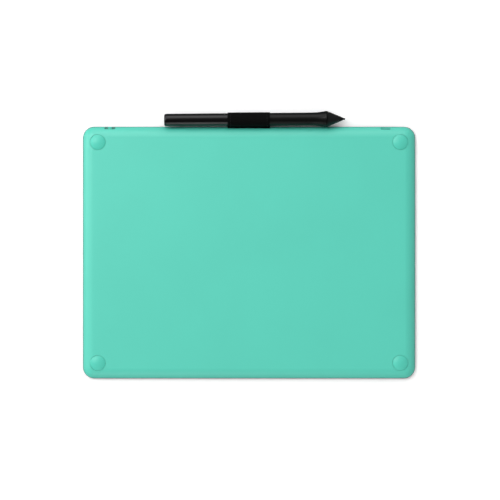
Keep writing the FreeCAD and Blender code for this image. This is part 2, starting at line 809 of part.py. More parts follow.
# ================================================================ boards, battery, wiring
def switch_board():
    board = box(switch_board_left, switch_board_right, switch_board_front, switch_board_back,
                switch_board_z, switch_board_top)
    hole = board_screw_radius + shank_clearance
    for x in switch_post_x:
        board = board.cut(rod(x, switch_post_y, switch_board_z, switch_board_top, hole))
    return board


def sensor_board():
    return box(-sensor_length / 2, sensor_length / 2, surface_centre_y - sensor_width / 2,
               surface_centre_y + sensor_width / 2, sensor_z, sensor_z + board_thickness)


def shield_plate():
    half_x = sensor_length / 2 - shield_margin
    half_y = sensor_width / 2 - shield_margin
    return box(-half_x, half_x, surface_centre_y - half_y, surface_centre_y + half_y,
               shield_z, shield_top)


def main_board():
    board = box(main_board_left, main_board_right, main_board_front, main_board_back,
                main_board_z, main_board_top)
    hole = board_screw_radius + shank_clearance
    for x, y in main_post_places:
        board = board.cut(rod(x, y, main_board_z, main_board_top, hole))
    return board


def board_chips():
    """Processor, charger, regulator and memory, counted from the main board's corner."""
    solids = []
    for across, up, length, width, height in chips:
        x = main_board_left + across
        y = main_board_front + up
        solids.append(box(x - length / 2, x + length / 2, y - width / 2, y + width / 2,
                          main_board_top, main_board_top + height))
    return solids


def radio_module():
    return slab(main_board_left + radio_place[0], main_board_front + radio_place[1],
                radio_length, radio_width, main_board_top, main_board_top + radio_height,
                radio_corner)


def board_screws():
    solids = [screw(x, switch_post_y, switch_board_top, -1, board_screw_radius,
                    board_screw_length, board_head_radius, board_head_height)
              for x in switch_post_x]
    reach = main_board_top - surface_recess - board_screw_skin
    solids += [screw(x, y, main_board_top, -1, board_screw_radius,
                     min(board_screw_length, reach), board_head_radius, board_head_height)
               for x, y in main_post_places]
    return solids


def battery():
    x, y = battery_centre
    return slab(x, y, battery_length, battery_width, battery_z, battery_z + battery_height,
                battery_corner)


def battery_lead():
    """Two wires from the battery to its plug, each one bend."""
    start_x = battery_centre[0] + battery_length / 2
    wire_z = battery_z + lead_radius + lead_lift
    wires = []
    for index in (0, 1):
        y = battery_centre[1] + lead_from_middle + index * lead_spacing
        x = plug_middle_x + (0.5 - index) * lead_spacing
        radius = lead_bend - index * lead_spacing
        run = Part.makeCylinder(lead_radius, x - radius - start_x, V(start_x, y, wire_z), V(1, 0, 0))
        bend = Part.makeTorus(radius, lead_radius, V(x - radius, y + radius, wire_z), V(0, 0, 1),
                              -180, 180, 90)
        bend.rotate(V(x - radius, y + radius, wire_z), V(0, 0, 1), -90)
        rise = Part.makeCylinder(lead_radius, plug_front_y - y - radius,
                                 V(x, y + radius, wire_z), V(0, 1, 0))
        wires.append(run.fuse([bend, rise]).removeSplitter())
    return wires


def battery_plug():
    return box(plug_middle_x - plug_length / 2, plug_middle_x + plug_length / 2, plug_front_y,
               plug_front_y + plug_width, main_board_top, main_board_top + plug_height)


def sensor_ribbon():
    low = sensor_z + board_thickness
    high = main_board_top
    edge_y = surface_centre_y + sensor_width / 2
    route = [(edge_y - shield_margin + ribbon_overhang, low), (edge_y + ribbon_overhang, low),
             (main_board_front, high), (main_board_front + ribbon_landing, high)]
    return sheet_along_y(route, ribbon_thickness, sensor_ribbon_x, sensor_ribbon_width)


def switch_ribbon():
    route = [(switch_board_right - ribbon_landing, switch_board_top),
             (switch_board_right + ribbon_overhang, switch_board_top),
             (main_board_left, main_board_top), (main_board_left + ribbon_landing, main_board_top)]
    return sheet_along_x(route, ribbon_thickness, switch_ribbon_y, switch_ribbon_width)


# ================================================================ power button and port
def power_button():
    half_x = power_button_width / 2
    half_z = power_button_height / 2
    inner_y = power_scoop_y - power_wall - power_flange_gap
    cap = box(power_x - half_x, power_x + half_x, inner_y, power_face_y,
              power_z - half_z, power_z + half_z)
    outer = [edge for edge in cap.Edges if edge.BoundBox.YMin > power_face_y - 1e-4]
    cap = cap.makeFillet(power_rounding, outer)
    flange = box(power_x - half_x - power_flange, power_x + half_x + power_flange,
                 inner_y - power_flange_thickness, inner_y, power_z - half_z, power_z + half_z)
    stem = box(power_x - power_stem_width / 2, power_x + power_stem_width / 2,
               power_switch_front + power_travel + power_travel_spare, inner_y,
               power_switch_middle_z - power_stem_height / 2,
               power_switch_middle_z + power_stem_height / 2)
    stem = stem.common(box(power_x - half_x, power_x + half_x, 0, tablet_width,
                           power_z - half_z, power_z + half_z))
    return cap.fuse([flange, stem]).removeSplitter()


def power_switch():
    half = power_switch_width / 2
    body = box(power_x - half, power_x + half, switch_board_back - power_switch_depth,
               switch_board_back, switch_board_top, switch_board_top + power_switch_height)
    plunger = box(power_x - power_stem_width / 2, power_x + power_stem_width / 2,
                  switch_board_back, power_switch_front,
                  power_switch_middle_z - power_plunger_half,
                  power_switch_middle_z + power_plunger_half)
    return body.fuse(plunger)


def port_outline(inset):
    """Outline of the port, flat on top and narrowed below, as points across the board's edge."""
    half_x = port_width / 2 - inset
    half_z = port_height / 2 - inset
    waist = half_z - port_shoulder
    points = [(-half_x, half_z), (half_x, half_z), (half_x, waist),
              (half_x - port_narrowing, -half_z), (-half_x + port_narrowing, -half_z),
              (-half_x, waist)]
    return [V(port_x + x, port_front_y, port_z + z) for x, z in points]


def port_shell():
    outer = port_outline(0)
    inner = port_outline(port_wall)
    body = Part.Face(Part.makePolygon(outer + outer[:1])).extrude(V(0, -port_depth, 0))
    hollow = Part.Face(Part.makePolygon(inner + inner[:1])).extrude(V(0, port_wall - port_depth, 0))
    return body.cut(hollow)


def port_tongue():
    back_y = port_front_y - port_depth + port_wall
    return box(port_x - tongue_width / 2, port_x + tongue_width / 2, back_y, back_y + tongue_depth,
               port_z, port_z + tongue_height)


# ================================================================ cloth loop and its clamp
def pen_loop():
    """One turn of webbing round the pen, with both ends drawn into the slot of the case."""
    centre = (pen_axis_y, pen_axis_z)
    mouth = (loop_mouth_y, loop_slot_z)
    away = math.dist(centre, mouth)
    towards = math.atan2(centre[1] - mouth[1], centre[0] - mouth[0])
    opening = math.asin(loop_inner / away)

    def touch(radius, side):
        turn = towards + side * (opening + math.pi / 2)
        return (centre[0] + radius * math.cos(turn), centre[1] + radius * math.sin(turn))

    def leave(side):
        """Where an outer side of the loop meets the outer side of the two ends."""
        turn = towards + side * opening
        edge_z = loop_slot_z + side * loop_thickness
        start = touch(loop_outer, side)
        return (start[0] - (start[1] - edge_z) / math.tan(turn), edge_z)

    low_z = loop_slot_z - loop_thickness
    high_z = loop_slot_z + loop_thickness
    outside = [(loop_tail_y, low_z), (loop_tail_y, high_z), leave(1), touch(loop_outer, 1), centre,
               touch(loop_outer, -1), leave(-1)]
    inside = [mouth, touch(loop_inner, 1), centre, touch(loop_inner, -1)]

    def prism(points):
        corners = [V(0, y, z) for y, z in points]
        return Part.Face(Part.makePolygon(corners + corners[:1])).extrude(V(loop_width, 0, 0))

    def barrel(radius):
        return Part.makeCylinder(radius, loop_width, V(0, centre[0], centre[1]), V(1, 0, 0))

    webbing = joined(prism(outside), [barrel(loop_outer)])
    webbing = webbing.cut(joined(prism(inside), [barrel(loop_inner)]))
    webbing.translate(V(loop_centre_x - loop_width / 2, 0, 0))
    webbing.rotate(V(0, pen_axis_y, 0), V(0, 0, 1), pen_tilt)
    return webbing


def loop_clamp():
    half = clamp_screw_x + clamp_end
    bar = box(loop_centre_x - half, loop_centre_x + half, loop_tail_y, loop_tail_y + clamp_depth,
              clamp_top - clamp_thickness, clamp_top)
    for side in (-1, 1):
        bar = bar.cut(rod(loop_centre_x + side * clamp_screw_x, clamp_middle_y, 0, clamp_top,
                          clamp_screw_radius + shank_clearance))
    return bar


def clamp_screws():
    return [screw(loop_centre_x + side * clamp_screw_x, clamp_middle_y,
                  clamp_top - clamp_thickness, 1, clamp_screw_radius, clamp_screw_length,
                  clamp_head_radius, clamp_head_height) for side in (-1, 1)]


# ================================================================ pen
def on_pen(solid):
    """Move a solid from the pen's own axis to the pen's place in the loop."""
    placed = solid.copy()
    placed.translate(V(-pen_tail_reach, 0, 0))
    placed.rotate(V(0, 0, 0), V(0, 0, 1), pen_tilt)
    placed.translate(V(0, pen_axis_y, pen_axis_z))
    return placed


def pen_rear_barrel():
    end = seam_at - seam_gap / 2
    start = (0, tail_flat_radius)
    side = (tail_round, tail_radius)
    outline = [line((0, 0), start), corner_arc(start, side)]
    outline += chain([side, (mid_at, mid_radius), (end, seam_radius), (end, rear_bore),
                      (rear_bore_end, rear_bore), (rear_bore_end, 0), (0, 0)])
    return turned(outline).cut(lengthwise(0, puller_depth, puller_radius))


def rocker_slot(gap, inner, outer):
    """Upright slot for the side switch, in the side of the pen that faces the table."""
    return slab(rocker_centre, 0, rocker_length + 2 * gap, rocker_width + 2 * gap,
                -outer, -inner, rocker_corner + gap)


def rocker_pin(gap):
    half = rocker_pin_half + gap
    return Part.makeCylinder(rocker_pin_radius + gap, 2 * half,
                             V(rocker_centre, -half, -rocker_pin_depth), V(0, 1, 0))


def pen_front_barrel():
    start = seam_at + seam_gap / 2
    flare = (flare_at, flare_radius)
    end = (grip_end, grip_end_radius)
    outline = chain([(start, grip_bore), (start, seam_radius), (flare_from, grip_radius)])
    outline.append(tangent_arc((flare_from, grip_radius), flare))
    outline.append(line(flare, end))
    outline += chain([end, (grip_end, grip_bore), (start, grip_bore)])
    barrel = turned(outline)
    barrel = barrel.cut(rocker_slot(rocker_gap, rocker_inner - rocker_gap, flare_radius))
    return barrel.cut(rocker_pin(socket_fit))


def pen_nose_cone():
    base = grip_end + cone_gap
    spigot = base - cone_spigot_length
    outline = chain([(spigot, cone_spigot_bore), (spigot, grip_bore - pen_fit),
                     (base, grip_bore - pen_fit), (base, cone_base_radius),
                     (cone_end, cone_end_radius), (cone_end, nib_radius + nib_gap),
                     (cone_cavity_end, nib_radius + nib_gap),
                     (cone_cavity_end, cone_cavity_radius),
                     (cone_cavity_knee, cone_spigot_bore), (spigot, cone_spigot_bore)])
    return turned(outline)


def nib_shape(end):
    """A nib that ends at a given place, point forwards."""
    round_from = end - nib_radius
    share = math.sqrt(0.5) * nib_radius
    point = arc((round_from, nib_radius), (round_from + share, share), (end, 0))
    outline = chain([(end, 0), (end - nib_length, 0), (end - nib_length, nib_radius),
                     (round_from, nib_radius)])
    return turned(outline + [point])


def spare_nib_places():
    turns = [2 * math.pi * index / spare_nib_count for index in range(spare_nib_count)]
    return [(spare_nib_ring * math.cos(turn), spare_nib_ring * math.sin(turn)) for turn in turns]


def spare_nibs():
    """Spare nibs, points towards the tail, standing in the end of the chassis."""
    solids = []
    for y, z in spare_nib_places():
        nib = nib_shape(0)
        nib.rotate(V(0, 0, 0), V(0, 0, 1), 180)
        nib.translate(V(chassis_rear + spare_nib_depth - nib_length - seat_gap, y, z))
        solids.append(nib)
    return solids


def pen_chassis():
    tray_radius = grip_bore - pen_fit
    plug = lengthwise(chassis_rear, chassis_step, rear_bore - pen_fit)
    for y, z in spare_nib_places():
        hole = lengthwise(chassis_rear, chassis_rear + spare_nib_depth,
                          nib_radius + spare_nib_clearance)
        hole.translate(V(0, y, z))
        plug = plug.cut(hole)
    collar = lengthwise(chassis_step, chassis_tray_from, tray_radius)
    tray = lengthwise(chassis_tray_from, chassis_ring_from, tray_radius)
    tray = tray.cut(box(chassis_tray_from, chassis_ring_from, -tray_radius, tray_radius,
                        -tray_radius, chassis_face))
    tray = tray.cut(box(chassis_tray_from + chassis_pocket_end,
                        chassis_ring_from - chassis_pocket_end, -chassis_pocket_half,
                        chassis_pocket_half, chassis_face, chassis_pocket_top))
    ring = lengthwise(chassis_ring_from, chassis_front, tray_radius)
    ring = ring.cut(lengthwise(chassis_ring_from, chassis_front, chassis_ring_bore))
    return joined(plug, [collar, tray, ring])


def pen_board():
    half = pen_board_thickness / 2
    return box(pen_board_from, pen_board_end, -pen_board_half, pen_board_half, -half, half)


def pen_domes():
    low = -pen_board_thickness / 2 - pen_dome_height
    return [rod(rocker_centre + side * rocker_press_at, 0, low, -pen_board_thickness / 2,
                pen_dome_radius) for side in (-1, 1)]


def pressure_sensor():
    return lengthwise(sensor_from, sensor_end, sensor_radius)


def nib_socket():
    socket = lengthwise(socket_from, socket_end, socket_radius)
    return socket.cut(lengthwise(nib_rear - seat_gap, socket_end,
                                 nib_radius + socket_fit))


def pen_ferrite():
    return lengthwise(ferrite_from, ferrite_end, ferrite_radius).cut(
        lengthwise(ferrite_from, ferrite_end, ferrite_bore))


def pen_coil():
    return lengthwise(coil_from, coil_end, coil_radius).cut(
        lengthwise(coil_from, coil_end, ferrite_radius + pen_fit))


def side_switch():
    """Two-way rocker with a dip over its pin and a press point under each end."""
    outer = grip_radius + rocker_proud
    body = lengthwise(rocker_centre - rocker_length / 2, rocker_centre + rocker_length / 2, outer)
    body = body.common(rocker_slot(0, rocker_inner, outer + 1))
    dip = Part.makeCylinder(rocker_dip_radius, rocker_width + 2,
                            V(rocker_centre, -rocker_width / 2 - 1,
                              -outer - rocker_dip_radius + rocker_dip), V(0, 1, 0))
    body = body.cut(dip)
    press_top = -pen_board_thickness / 2 - pen_dome_height - rocker_press_gap
    press = [rod(rocker_centre + side * rocker_press_at, 0, -rocker_inner - 0.5, press_top,
                 rocker_press_radius) for side in (-1, 1)]
    body = joined(body, press)
    return body.cut(rocker_pin(rocker_pin_fit))


# ================================================================ writing the pieces
def group(solids):
    return Part.makeCompound(solids)


def all_pieces():
    pieces = {
        "rear_cover": rear_cover(),
        "front_panel": front_panel(),
        "drawing_surface": drawing_surface(),
        "key_domes": group(key_domes()),
        "switch_board": switch_board(),
        "status_light": status_light(),
        "status_led": status_led(),
        "power_button": power_button(),
        "power_switch": power_switch(),
        "main_board": main_board(),
        "board_chips": group(board_chips()),
        "radio_module": radio_module(),
        "usb_shell": port_shell(),
        "usb_tongue": port_tongue(),
        "sensor_board": sensor_board(),
        "shield_plate": shield_plate(),
        "battery": battery(),
        "battery_lead": group(battery_lead()),
        "battery_plug": battery_plug(),
        "sensor_ribbon": sensor_ribbon(),
        "switch_ribbon": switch_ribbon(),
        "case_screws": group(case_screws()),
        "board_screws": group(board_screws()),
        "pen_loop": pen_loop(),
        "loop_clamp": loop_clamp(),
        "clamp_screws": group(clamp_screws()),
    }
    for number, (x, y) in enumerate(key_places, start=1):
        pieces[f"express_key_{number}"] = express_key(x, y, abs(x) > key_inner_x)
    for number, (x, y) in enumerate(foot_places, start=1):
        pieces[f"foot_{number}"] = foot(x, y)
    pen_pieces = {
        "pen_rear_barrel": pen_rear_barrel(),
        "pen_front_barrel": pen_front_barrel(),
        "pen_nose_cone": pen_nose_cone(),
        "pen_nib": nib_shape(pen_length),
        "nib_socket": nib_socket(),
        "spare_nibs": group(spare_nibs()),
        "pen_chassis": pen_chassis(),
        "pen_board": pen_board(),
        "pen_domes": group(pen_domes()),
        "pressure_sensor": pressure_sensor(),
        "pen_ferrite": pen_ferrite(),
        "pen_coil": pen_coil(),
        "side_switch": side_switch(),
        "side_switch_pin": rocker_pin(0),
    }
    for name, solid in pen_pieces.items():
        pieces[name] = on_pen(solid)
    return pieces


os.makedirs("parts", exist_ok=True)
for name, solid in all_pieces().items():
    solid.exportStep(f"parts/{name}.step")
    box_size = solid.BoundBox
    print(f"{name:20s} solids {len(solid.Solids)} valid {solid.isValid()} volume {solid.Volume:10.2f}"
          f"  x {box_size.XMin:8.2f} {box_size.XMax:8.2f}  y {box_size.YMin:8.2f} {box_size.YMax:8.2f}"
          f"  z {box_size.ZMin:6.2f} {box_size.ZMax:6.2f}")
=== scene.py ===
"""Looks of the pen tablet lying face down, with its pen held in the cloth loop.

Sizes are in millimetres, and mm() turns them into the metres of the frame.
X runs along the tablet, Y towards the pen and Z out of the back.
"""

import json
import math
import random

import bmesh
import bpy
import numpy as np
from mathutils import Matrix, Vector


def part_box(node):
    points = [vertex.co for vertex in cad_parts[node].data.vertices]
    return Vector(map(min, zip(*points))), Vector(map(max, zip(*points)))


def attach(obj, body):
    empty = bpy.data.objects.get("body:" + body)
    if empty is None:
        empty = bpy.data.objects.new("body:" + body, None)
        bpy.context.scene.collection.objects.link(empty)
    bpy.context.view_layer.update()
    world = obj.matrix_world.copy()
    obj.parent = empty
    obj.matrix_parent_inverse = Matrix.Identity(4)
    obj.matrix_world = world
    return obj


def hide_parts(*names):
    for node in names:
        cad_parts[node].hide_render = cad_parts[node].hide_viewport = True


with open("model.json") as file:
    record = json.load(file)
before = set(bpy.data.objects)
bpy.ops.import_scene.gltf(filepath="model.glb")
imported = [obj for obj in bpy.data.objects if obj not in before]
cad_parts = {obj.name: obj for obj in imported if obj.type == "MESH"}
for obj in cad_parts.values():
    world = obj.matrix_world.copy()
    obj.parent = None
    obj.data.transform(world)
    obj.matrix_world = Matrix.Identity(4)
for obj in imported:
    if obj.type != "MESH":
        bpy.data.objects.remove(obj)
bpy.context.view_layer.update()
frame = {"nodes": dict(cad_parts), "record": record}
nodes = frame["nodes"]
random.seed(7)


def mm(*lengths):
    """Millimetres as metres: one number, or a point."""
    if len(lengths) == 1:
        return lengths[0] / 1000
    return Vector(length / 1000 for length in lengths)


# ================================================================ sizes
panel_half_length = 132.0     # outline of the front panel
panel_half_width = 100.0
panel_rubbed = 4.0            # how far in from its edge the grain is rubbed smoother
cover_half_length = 131.7     # outline of the back cover
cover_half_width = 99.7
cover_rubbed = 7.0

foot_middle_x = 119.7
foot_middle_y = 87.35
foot_radius = 6.1
foot_extra_crown = 0.55

scoop_middle_x = -110.4       # finger scoop of the power button
scoop_half_width = 4.3
scoop_from_y = 97.3
scoop_from_z = 2.9
scoop_to_z = 5.3

pen_axis_y = 105.35
pen_axis_z = 6.7
pen_tilt = 0.36               # degrees about Z, tip leaning away

loop_width = 33.5
loop_centre_x = -0.25
loop_inner = 5.22             # pen's axis to the inside of the webbing
loop_radius = 5.44            # and to its middle
webbing_thickness = 0.42
loop_mouth_y = 100.42         # where the two ends meet
loop_slot_z = 3.8
loop_tail_y = 92.6
ply_offset = 0.25             # each end from the middle of the slot
crease_softness = 0.9         # length over which a crease of the webbing is softened
line_step = 0.05              # between points of the webbing's middle line
turn_points = 240             # round the pen
webbing_columns = 60
webbing_rows = 220
webbing_edge_softness = 0.2
webbing_edge_angle = 60       # degrees, turns sharper than this are softened

hem_from_edge = 2.3
stitch_length = 1.25
stitch_pitch = 2.0
stitch_radius = 0.11
stitch_sides = 10
stitch_rings = 6
stitch_lift = 0.02            # stitch's middle above the webbing
stitch_start = -85            # degrees from straight up, towards the tablet
stitch_span = 290
stitch_lean = (3, 9)          # least and most, in degrees

marked_half_length = 108.0    # corner marks of the drawing area
marked_half_width = 67.5
marked_centre_y = -12.5
mark_arm = 7.0
mark_line = 0.45

contact_width = 0.36          # contacts on the tongue of the port
contact_length = 3.4
contact_height = 0.06
contact_pitch = 0.65
contact_forward = 0.2         # of the tongue's middle
contact_edge = 0.02
contacts_each_side = 2


# ================================================================ camera, floor and light
lens_length = 100
sensor_width = 36
camera_x = 0.76
camera_y = 2.02
camera_height = 1106.5

floor_size = 24.0             # metres
floor_drop = 0.1              # floor under the drawing face, in millimetres
plain_floor_from = 0.42       # metres from the middle, where the floor turns plain white
plain_floor_to = 0.75

# Each lamp's place, width and height in metres, its power in watts,
# and whether glossy surfaces mirror it.
studio_lamps = {
    "key_softbox": ((-0.80, 0.60, 1.35), 0.8, 0.8, 10.5, True),
    "side_softbox": ((-1.48, 0.36, 0.36), 0.7, 0.7, 6.0, True),
    "far_softbox": ((-0.05, 1.15, 0.75), 1.0, 1.0, 5.2, True),
    "near_softbox": ((-0.34, -1.2, 0.5), 0.5, 0.8, 2.8, False),
    "near_strip": ((-0.09, -1.2, 0.5), 0.16, 0.8, 1.05, True),
    "right_softbox": ((1.4, -0.5, 0.4), 0.9, 0.5, 1.0, False),
}


def make_camera():
    lens = bpy.data.cameras.new("camera")
    lens.lens = lens_length
    lens.sensor_width = sensor_width
    lens.clip_start = 0.01
    lens.clip_end = 50
    camera = bpy.data.objects.new("camera", lens)
    camera.location = mm(camera_x, camera_y, camera_height)
    bpy.context.scene.collection.objects.link(camera)
    bpy.context.scene.camera = camera
    bpy.context.scene.view_settings.view_transform = "Standard"


def softbox(name, place, width, height, power, in_gloss):
    """A soft lamp, turned to the middle of the tablet."""
    light = bpy.data.lights.new(name, "AREA")
    light.shape = "RECTANGLE"
    light.size = width
    light.size_y = height
    light.energy = power
    lamp = bpy.data.objects.new(name, light)
    lamp.location = place
    lamp.rotation_euler = Vector(place).to_track_quat("Z", "Y").to_euler()
    lamp.visible_camera = False
    lamp.visible_glossy = in_gloss
    bpy.context.scene.collection.objects.link(lamp)


def light_the_studio():
    for name, (place, width, height, power, in_gloss) in studio_lamps.items():
        softbox(name, place, width, height, power, in_gloss)


# ================================================================ node trees
def give(tree, socket, value):
    """Feeds a socket from another one, or sets it to a plain value."""
    if isinstance(value, bpy.types.NodeSocket):
        tree.links.new(value, socket)
    else:
        socket.default_value = value


def put(tree, kind, inputs=None, **settings):
    """A new node. Each input is a plain value, or the socket that feeds it."""
    made = tree.nodes.new(kind)
    for name, value in settings.items():
        setattr(made, name, value)
    for name, value in (inputs or {}).items():
        give(tree, made.inputs[name], value)
    return made


def maths(tree, operation, *values):
    return put(tree, "ShaderNodeMath", dict(enumerate(values)), operation=operation).outputs[0]


def ramp(tree, value, low, high, out_low=0.0, out_high=1.0):
    """Value mapped smoothly from low..high to out_low..out_high, and held beyond them."""
    inputs = {
        "Value": value,
        "From Min": low,
        "From Max": high,
        "To Min": out_low,
        "To Max": out_high,
    }
    made = put(tree, "ShaderNodeMapRange", inputs, interpolation_type="SMOOTHSTEP")
    return made.outputs["Result"]


def mixed(tree, share, first, second):
    """First colour turning into the second as share goes from 0 to 1."""
    made = tree.nodes.new("ShaderNodeMix")
    made.data_type = "RGBA"
    for name, value in {"Factor": share, "A": first, "B": second}.items():
        socket = next(each for each in made.inputs if each.name == name and each.enabled)
        give(tree, socket, value)
    return next(each for each in made.outputs if each.enabled)


def new_effect(name, inputs, outputs):
    """An empty node group with number inputs {name: usual value} and the named outputs."""
    tree = bpy.data.node_groups.new(name, "ShaderNodeTree")
    for label, usual in inputs.items():
        socket = tree.interface.new_socket(label, in_out="INPUT", socket_type="NodeSocketFloat")
        socket.default_value = usual
    for label in outputs:
        tree.interface.new_socket(label, in_out="OUTPUT", socket_type="NodeSocketFloat")
    given = tree.nodes.new("NodeGroupInput").outputs
    wanted = tree.nodes.new("NodeGroupOutput").inputs
    return tree, given, wanted


def place_in_mm(tree):
    """The point on the piece, in millimetres."""
    place = tree.nodes.new("ShaderNodeTexCoord").outputs["Object"]
    scaled = put(tree, "ShaderNodeVectorMath", {0: place, "Scale": 1000.0}, operation="SCALE")
    return scaled.outputs["Vector"]


def make_moulded_grain():
    """Fine grain of a textured mould, and the slow drift of colour across a moulding."""
    drift_from = 0.32
    drift_to = 0.68
    usual = {"Grain": 0.4, "Patch": 30.0}
    tree, given, wanted = new_effect("moulded_grain", usual, ["Height", "Drift"])
    place = place_in_mm(tree)
    fine_scale = maths(tree, "DIVIDE", 1.0, given["Grain"])
    slow_scale = maths(tree, "DIVIDE", 1.0, given["Patch"])
    fine = {"Vector": place, "Scale": fine_scale, "Detail": 2.0, "Roughness": 0.55}
    slow = {"Vector": place, "Scale": slow_scale, "Detail": 3.0, "Roughness": 0.6}
    fine_noise = put(tree, "ShaderNodeTexNoise", fine)
    slow_noise = put(tree, "ShaderNodeTexNoise", slow)
    tree.links.new(fine_noise.outputs["Fac"], wanted["Height"])
    drift = ramp(tree, slow_noise.outputs["Fac"], drift_from, drift_to)
    tree.links.new(drift, wanted["Drift"])
    return tree


def make_handled():
    """Faint streaks and spots that handling leaves in a satin finish."""
    drawn_out = (0.35, 1.0, 1.0)
    spot_edge = 0.14
    tree, given, wanted = new_effect("handled", {"Size": 9.0, "Spots": 0.62}, ["Mask"])
    place_and_stretch = {0: place_in_mm(tree), 1: drawn_out}
    stretched = put(tree, "ShaderNodeVectorMath", place_and_stretch, operation="MULTIPLY")
    scale = maths(tree, "DIVIDE", 1.0, given["Size"])
    streaks = {"Vector": stretched.outputs["Vector"], "Scale": scale, "Detail": 5.0, "Roughness": 0.62}
    noise = put(tree, "ShaderNodeTexNoise", streaks).outputs["Fac"]
    full = maths(tree, "ADD", given["Spots"], spot_edge)
    spots = {"Value": noise, "From Min": given["Spots"], "From Max": full}
    mask = put(tree, "ShaderNodeMapRange", spots)
    tree.links.new(mask.outputs["Result"], wanted["Mask"])
    return tree


def make_rim_polish():
    """The outer edge of a rounded plate, where the grain is rubbed smoother."""
    corner_softness = 6.0
    usual = {"Half Length": panel_half_length, "Half Width": panel_half_width, "Reach": 6.0}
    tree, given, wanted = new_effect("rim_polish", usual, ["Mask"])
    axes = put(tree, "ShaderNodeSeparateXYZ", {0: place_in_mm(tree)}).outputs
    along = maths(tree, "SUBTRACT", maths(tree, "ABSOLUTE", axes["X"]), given["Half Length"])
    across = maths(tree, "SUBTRACT", maths(tree, "ABSOLUTE", axes["Y"]), given["Half Width"])
    edge = maths(tree, "SMOOTH_MAX", along, across, corner_softness)
    depth = maths(tree, "DIVIDE", edge, given["Reach"])
    tree.links.new(ramp(tree, depth, -1.0, 0.1), wanted["Mask"])
    return tree


def make_foot_dome():
    """Extra crown of the four feet, highest at each foot's middle."""
    usual = {"Middle X": foot_middle_x, "Middle Y": foot_middle_y, "Radius": foot_radius}
    tree, given, wanted = new_effect("foot_dome", usual, ["Height"])
    axes = put(tree, "ShaderNodeSeparateXYZ", {0: place_in_mm(tree)}).outputs
    along = maths(tree, "SUBTRACT", maths(tree, "ABSOLUTE", axes["X"]), given["Middle X"])
    across = maths(tree, "SUBTRACT", maths(tree, "ABSOLUTE", axes["Y"]), given["Middle Y"])
    along_share = maths(tree, "POWER", maths(tree, "DIVIDE", along, given["Radius"]), 2.0)
    across_share = maths(tree, "POWER", maths(tree, "DIVIDE", across, given["Radius"]), 2.0)
    fall = maths(tree, "ADD", along_share, across_share)
    tree.links.new(maths(tree, "SUBTRACT", 1.0, fall), wanted["Height"])
    return tree


def make_painted_scoop_shade():
    """Painted shade in the finger scoop of the power button: a mask of where the case colour is
    darkened.
    """
    usual = {
        "Middle X": scoop_middle_x,
        "Half Width": scoop_half_width,
        "From Y": scoop_from_y,
        "From Z": scoop_from_z,
        "To Z": scoop_to_z,
    }
    tree, given, wanted = new_effect("painted_scoop_shade", usual, ["Mask"])
    axes = put(tree, "ShaderNodeSeparateXYZ", {0: place_in_mm(tree)}).outputs
    off_middle = maths(tree, "ABSOLUTE", maths(tree, "SUBTRACT", axes["X"], given["Middle X"]))
    in_width = maths(tree, "LESS_THAN", off_middle, given["Half Width"])
    in_depth = maths(tree, "GREATER_THAN", axes["Y"], given["From Y"])
    above = maths(tree, "GREATER_THAN", axes["Z"], given["From Z"])
    below = maths(tree, "LESS_THAN", axes["Z"], given["To Z"])
    level = maths(tree, "MULTIPLY", above, below)
    inside = maths(tree, "MULTIPLY", maths(tree, "MULTIPLY", in_width, in_depth), level)
    tree.links.new(inside, wanted["Mask"])
    return tree


def make_brushed():
    """Fine lines left by rolling or brushing metal along X."""
    tree, given, wanted = new_effect("brushed", {"Line": 0.12, "Stretch": 0.05}, ["Height"])
    place = place_in_mm(tree)
    squeeze = put(tree, "ShaderNodeCombineXYZ", {"X": given["Stretch"], "Y": 1.0, "Z": 1.0})
    drawn = put(tree, "ShaderNodeVectorMath", {0: place, 1: squeeze.outputs[0]}, operation="MULTIPLY")
    scale = maths(tree, "DIVIDE", 1.0, given["Line"])
    lines = {"Vector": drawn.outputs["Vector"], "Scale": scale, "Detail": 3.0, "Roughness": 0.7}
    noise = put(tree, "ShaderNodeTexNoise", lines)
    tree.links.new(noise.outputs["Fac"], wanted["Height"])
    return tree


def make_stripes():
    """Even lines across one direction of a piece, such as tracks or a winding."""
    line_from = 0.4
    line_to = 0.6
    usual = {"Pitch": 0.5, "Along X": 1.0, "Along Y": 0.0, "Waver": 0.0}
    tree, given, wanted = new_effect("stripes", usual, ["Height", "Mask"])
    place = place_in_mm(tree)
    axes = put(tree, "ShaderNodeSeparateXYZ", {0: place}).outputs
    part_x = maths(tree, "MULTIPLY", axes["X"], given["Along X"])
    part_y = maths(tree, "MULTIPLY", axes["Y"], given["Along Y"])
    noise = put(tree, "ShaderNodeTexNoise", {"Vector": place, "Scale": 0.25}).outputs["Fac"]
    shift = maths(tree, "MULTIPLY", noise, given["Waver"])
    line = maths(tree, "ADD", maths(tree, "ADD", part_x, part_y), shift)
    turn = maths(tree, "MULTIPLY", maths(tree, "DIVIDE", line, given["Pitch"]), 2 * math.pi)
    height = maths(tree, "MULTIPLY_ADD", maths(tree, "SINE", turn), 0.5, 0.5)
    tree.links.new(height, wanted["Height"])
    tree.links.new(ramp(tree, height, line_from, line_to), wanted["Mask"])
    return tree


